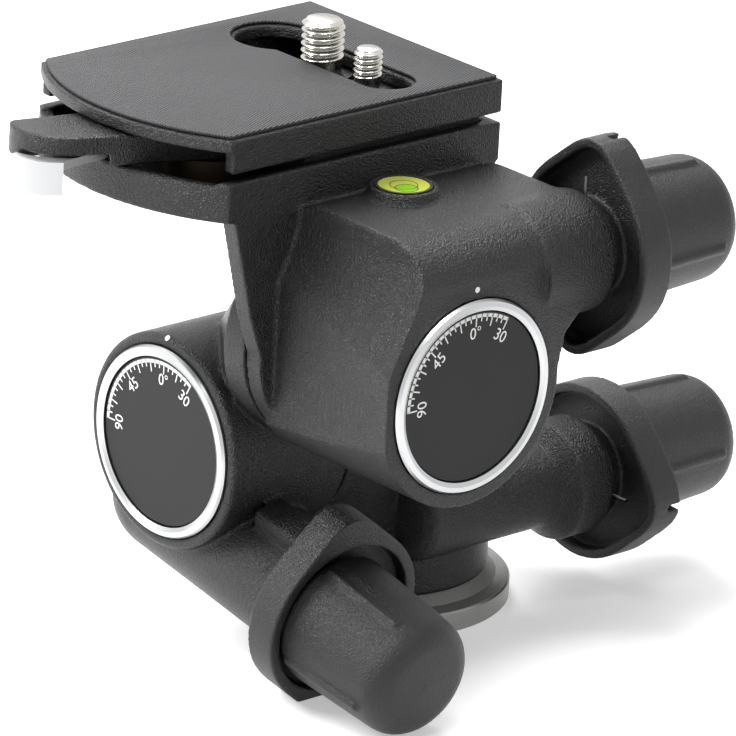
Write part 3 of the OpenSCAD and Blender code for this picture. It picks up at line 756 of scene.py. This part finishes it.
@dataclass
class BubbleLevel:
    """The printed circle and the bubble on the round level's vial."""

    circle_radius: float = 3.0 * MM
    bubble_radius: float = 2.5 * MM
    bubble_shift: tuple[float, float] = (-0.9 * MM, -1.9 * MM)
    line: float = 0.18 * MM
    lift: float = 0.03 * MM
    steps: int = 48

    def ring(self, name: str, radius: float, centre: Vector) -> bpy.types.Object:
        """Make a thin flat ring on the vial.

        Args:
            name: the piece's name.
            radius: its middle radius.
            centre: its centre on the vial's face.

        Returns:
            The ring.
        """
        parts = []
        for i in range(self.steps):
            angles = [2 * math.pi * k / self.steps for k in (i, i + 1)]
            inner, outer = radius - self.line / 2, radius + self.line / 2
            corners = [(inner, angles[0]), (outer, angles[0]), (outer, angles[1]), (inner, angles[1])]
            outline = [(r * math.cos(a), r * math.sin(a)) for r, a in corners]
            parts.append(prism(outline, 0.0, self.lift))
        points, faces = joined(parts)
        return mesh_piece(name, points, faces, Matrix.Translation(centre))

    def build(self, bubble: bpy.types.Material, line: bpy.types.Material) -> None:
        """Make the circle, the bubble and its rim.

        Args:
            bubble: the clear green of the bubble.
            line: the black of the circle and the rim.
        """
        low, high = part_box("level_vial")
        middle = (low + high) / 2
        middle.z = high.z
        spot = middle + Vector((*self.bubble_shift, 0.0))
        circle = [
            (self.bubble_radius * math.cos(a), self.bubble_radius * math.sin(a))
            for a in (2 * math.pi * i / self.steps for i in range(self.steps))
        ]
        points, faces = prism(circle, 0.0, self.lift / 2)
        dome = mesh_piece("level_bubble", points, faces, Matrix.Translation(spot))
        dome.data.materials.append(bubble)
        rim = self.ring("level_bubble_rim", self.bubble_radius, spot)
        print_ring = self.ring("level_circle", self.circle_radius, middle)
        for piece in (rim, print_ring):
            piece.data.materials.append(line)
        for piece in (dome, rim, print_ring):
            move_to_body(piece, "level_vial")
        LOG.info("level: bubble and circle")


@dataclass
class RoundedPad:
    """The rubber pad with its edges rounded."""

    round_width: float = 0.3 * MM
    round_segments: int = 3
    flat_angle: float = 1.0
    corner_angle: float = 40.0

    def build(self, rubber: bpy.types.Material) -> None:
        """Show the rounded pad in place of its CAD node.

        Args:
            rubber: the ribbed finish.
        """
        piece = bpy.data.objects.new("plate_pad_round", frame["nodes"]["plate_pad"].data.copy())
        bpy.context.scene.collection.objects.link(piece)
        weld = piece.modifiers.new("weld", "WELD")
        weld.merge_threshold = WELD_DISTANCE
        flat = piece.modifiers.new("flat", "DECIMATE")
        flat.decimate_type = "DISSOLVE"
        flat.angle_limit = math.radians(self.flat_angle)
        bevel = piece.modifiers.new("bevel", "BEVEL")
        bevel.width = self.round_width
        bevel.segments = self.round_segments
        bevel.angle_limit = math.radians(self.corner_angle)
        bevel.limit_method = "ANGLE"
        bpy.context.view_layer.update()
        graph = bpy.context.evaluated_depsgraph_get()
        mesh = bpy.data.meshes.new_from_object(piece.evaluated_get(graph))
        piece.modifiers.clear()
        piece.data = mesh
        mesh.materials.clear()
        mesh.materials.append(rubber)
        mesh.shade_smooth()
        mesh.set_sharp_from_angle(angle=math.radians(self.corner_angle))
        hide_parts("plate_pad")
        move_to_body(piece, "plate_pad")
        LOG.info("pad: %d faces", len(mesh.polygons))


@dataclass
class Studio:
    """Pale floor, soft lamps, world and the camera of the photograph."""

    focal_px: float = 7741.77
    frame_px: float = 736.0
    sensor_mm: float = 36.0
    azimuth: float = -42.281
    elevation: float = 20.389
    roll: float = 3.029
    camera_place: tuple[float, float, float] = (-1.08958, -1.19263, 0.65280)
    clip_start: float = 0.05
    clip_end: float = 50.0
    floor_size: float = 6.0
    floor_colour: str = "e4e4e4"
    floor_roughness: float = 0.9
    floor_lift: float = 0.42
    world_level: float = 0.4
    lamp_target: tuple[float, float, float] = (-0.02, 0.0, 0.07)
    lamp_distance: float = 0.9

    def camera(self) -> None:
        """Place the camera at the pose that was fitted to the photograph."""
        roll_rad = math.radians(self.roll)
        back = direction(self.azimuth, self.elevation)
        level_right = (-back).cross(Vector((0, 0, 1))).normalized()
        level_up = level_right.cross(-back)
        right = level_right * math.cos(roll_rad) + level_up * math.sin(roll_rad)
        up = level_up * math.cos(roll_rad) - level_right * math.sin(roll_rad)
        data = bpy.data.cameras.new("camera")
        data.sensor_width = self.sensor_mm
        data.lens = self.focal_px / self.frame_px * self.sensor_mm
        data.clip_start = self.clip_start
        data.clip_end = self.clip_end
        camera = bpy.data.objects.new("camera", data)
        camera.matrix_world = (
            Matrix.Translation(self.camera_place)
            @ Matrix((right, up, back)).transposed().to_4x4()
        )
        bpy.context.scene.collection.objects.link(camera)
        bpy.context.scene.camera = camera

    def seen_by_eye(self, tree: bpy.types.NodeTree) -> bpy.types.NodeSocket:
        """Return 1 for camera, glossy and transmission rays, and 0 for the rest.

        Args:
            tree: the node tree that needs it.

        Returns:
            The socket with the switch.
        """
        rays = add_node(tree, "ShaderNodeLightPath", {}, {}).outputs
        shiny = add_node(
            tree,
            "ShaderNodeMath",
            {"operation": "MAXIMUM"},
            {0: rays["Is Glossy Ray"], 1: rays["Is Transmission Ray"]},
        )
        seen = add_node(
            tree,
            "ShaderNodeMath",
            {"operation": "MAXIMUM"},
            {0: rays["Is Camera Ray"], 1: shiny.outputs[0]},
        )
        return seen.outputs[0]

    def floor(self) -> None:
        """Lay the pale floor, which keeps the object's soft shadow."""
        half = self.floor_size / 2
        corners = [(-half, -half, 0), (half, -half, 0), (half, half, 0), (-half, half, 0)]
        ground = mesh_piece("floor", corners, [(0, 1, 2, 3)], Matrix.Identity(4))
        material = bpy.data.materials.new("Pale_paper_floor")
        material.use_nodes = True
        tree = material.node_tree
        shader = tree.nodes["Principled BSDF"]
        shader.inputs["Base Color"].default_value = linear(self.floor_colour)
        shader.inputs["Roughness"].default_value = self.floor_roughness
        shader.inputs["Emission Color"].default_value = linear("ffffff")
        lift = add_node(
            tree,
            "ShaderNodeMath",
            {"operation": "MULTIPLY"},
            {0: self.seen_by_eye(tree)},
        )
        lift.inputs[1].default_value = self.floor_lift
        tree.links.new(lift.outputs[0], shader.inputs["Emission Strength"])
        ground.data.materials.append(material)

    def world(self) -> None:
        """Give an even grey light with a white background."""
        world = bpy.data.worlds.new("studio")
        bpy.context.scene.world = world
        world.use_nodes = True
        tree = world.node_tree
        level = add_node(
            tree,
            "ShaderNodeMapRange",
            {"To Min": self.world_level, "To Max": 1.0},
            {"Value": self.seen_by_eye(tree)},
        )
        background = tree.nodes["Background"]
        background.inputs["Color"].default_value = (1.0, 1.0, 1.0, 1.0)
        tree.links.new(level.outputs[0], background.inputs["Strength"])

    def lamp(self, name: str, azimuth: float, elevation: float, size: float, watts: float) -> None:
        """Hang one soft lamp that looks at the head.

        Args:
            name: the lamp's name.
            azimuth: where it stands, 0 at the front and 90 at the right.
            elevation: its height as an angle.
            size: its side.
            watts: its power.
        """
        back = direction(azimuth, elevation)
        data = bpy.data.lights.new(name, "AREA")
        data.shape = "SQUARE"
        data.size = size
        data.energy = watts
        lamp = bpy.data.objects.new(name, data)
        lamp.location = Vector(self.lamp_target) + back * self.lamp_distance
        lamp.rotation_mode = "QUATERNION"
        lamp.rotation_quaternion = back.to_track_quat("Z", "Y")
        bpy.context.scene.collection.objects.link(lamp)

    def build(self) -> None:
        """Build the studio."""
        self.camera()
        self.floor()
        self.world()
        self.lamp("key_softbox", -132.0, 42.0, 0.45, 12.0)
        self.lamp("back_softbox", 150.0, 50.0, 0.45, 7.0)
        self.lamp("top_softbox", -30.0, 72.0, 0.35, 4.0)
        bpy.context.scene.view_settings.view_transform = "Standard"
        LOG.info("studio ready")


@dataclass
class MachinedParts:
    """Turned and plated CAD pieces that are shown as they are."""

    def dress(self, materials: dict) -> None:
        """Give every shown CAD node its finish.

        Args:
            materials: the built material of each slot, and of single nodes by name.
        """
        for name, node in sorted(frame["nodes"].items()):
            if node.hide_render:
                continue
            slot = node.data.materials[0].name
            node.data.materials[0] = materials.get(name, materials[slot])
        LOG.info("machined pieces dressed")


def main() -> None:
    """Build every piece in order."""
    logging.basicConfig(level=logging.INFO, format="%(name)s: %(message)s")
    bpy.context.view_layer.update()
    Studio().build()

    finishes = [POWDER_COAT, MOULDED_NYLON, ANODISED_DIAL, ZINC_PLATE, BRONZE, RIBBED_RUBBER]
    finishes += [LEVEL_LIQUID]
    materials = {finish.slot.value: finish.build() for finish in finishes}
    ink = PRINT_INK.build()

    roll_low, roll_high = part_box("roll_dial")
    tilt_low, tilt_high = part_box("tilt_dial")
    roll_centre = (roll_low + roll_high) / 2
    roll_centre.y = roll_low.y
    tilt_centre = (tilt_low + tilt_high) / 2
    tilt_centre.x = tilt_low.x
    turned = {
        "roll_bezel": ((roll_centre.x, 0.0, roll_centre.z), (1.0, 0.0, 1.0)),
        "tilt_bezel": ((0.0, tilt_centre.y, tilt_centre.z), (0.0, 1.0, 1.0)),
        "pan_bearing_plate": ((0.0, 0.0, 0.0), (1.0, 1.0, 0.0)),
    }
    # Satin turned aluminium: bright, with fine rings that spread the highlight
    for name, (centre, across) in turned.items():
        finish = Turned(
            f"Turned_aluminium_{name}", Slot.ALUMINIUM, "c3c4c5", 0.3, 1.0, centre=centre, across=across
        )
        materials[name] = finish.build()
    materials[Slot.ALUMINIUM.value] = materials["pan_bearing_plate"]
    # Aluminium casting, blasted on top and turned on its rim: grainy above, satin at the side
    base_finish = BlastedAboveTurned(
        "Blasted_and_turned_base", Slot.ALUMINIUM, "8f8f8d", 0.36, 1.0, grain_mm=0.5, depth_mm=0.1,
        rim_height=4.9 * MM,
    )
    materials["base_plate"] = base_finish.build()
    materials["safety_catch"] = TUMBLED_ZINC.build()
    # The lock cam takes the bronze darkened as painted shade of the recess it sits in
    materials["lock_cam"] = RECESS_SHADE_BRONZE.build()
    spring = BLUED_SPRING.build()
    for name in ("pan_spring", "tilt_spring", "roll_spring", "catch_spring"):
        materials[name] = spring

    casting_rounding = Softening(voxel_mm=0.42, rounds=6, keep=0.25)
    moulded_rounding = Softening(voxel_mm=0.35, rounds=5, keep=0.3)
    RoundedPad().build(materials[Slot.RUBBER.value])
    BubbleLevel().build(BUBBLE.build(), LEVEL_LINE.build())
    zinc = materials[Slot.STEEL.value]
    CameraScrew("camera_screw_large", LARGE_SCREW_RADIUS, LARGE_SCREW_PITCH).build(zinc)
    CameraScrew("camera_screw_small", SMALL_SCREW_RADIUS, SMALL_SCREW_PITCH).build(zinc)
    soft = {}
    castings = ["pan_housing", "tilt_housing", "top_housing", "camera_plate", "tilt_cover", "roll_cover"]
    for node in castings + ["lock_lever"]:
        soft[node] = casting_rounding.apply(node, materials[Slot.CAST.value])
        LOG.info("%s softened: %d faces", node, len(soft[node].data.polygons))
    for drive in ("pan", "tilt", "roll"):
        for kind in ("lever", "knob"):
            node = f"{drive}_{kind}"
            soft[node] = moulded_rounding.apply(node, materials[Slot.PLASTIC.value])
            LOG.info("%s softened: %d faces", node, len(soft[node].data.polygons))

    Dial(
        "roll_dial", "roll_dial", "top_housing", roll_centre, Vector((0, -1, 0)), Vector((1, 0, 0))
    ).build(soft["top_housing"], ink)
    Dial(
        "tilt_dial", "tilt_dial", "tilt_housing", tilt_centre, Vector((-1, 0, 0)), Vector((0, -1, 0))
    ).build(soft["tilt_housing"], ink)

    MachinedParts().dress(materials)


if __name__ == "__main__":
    main()
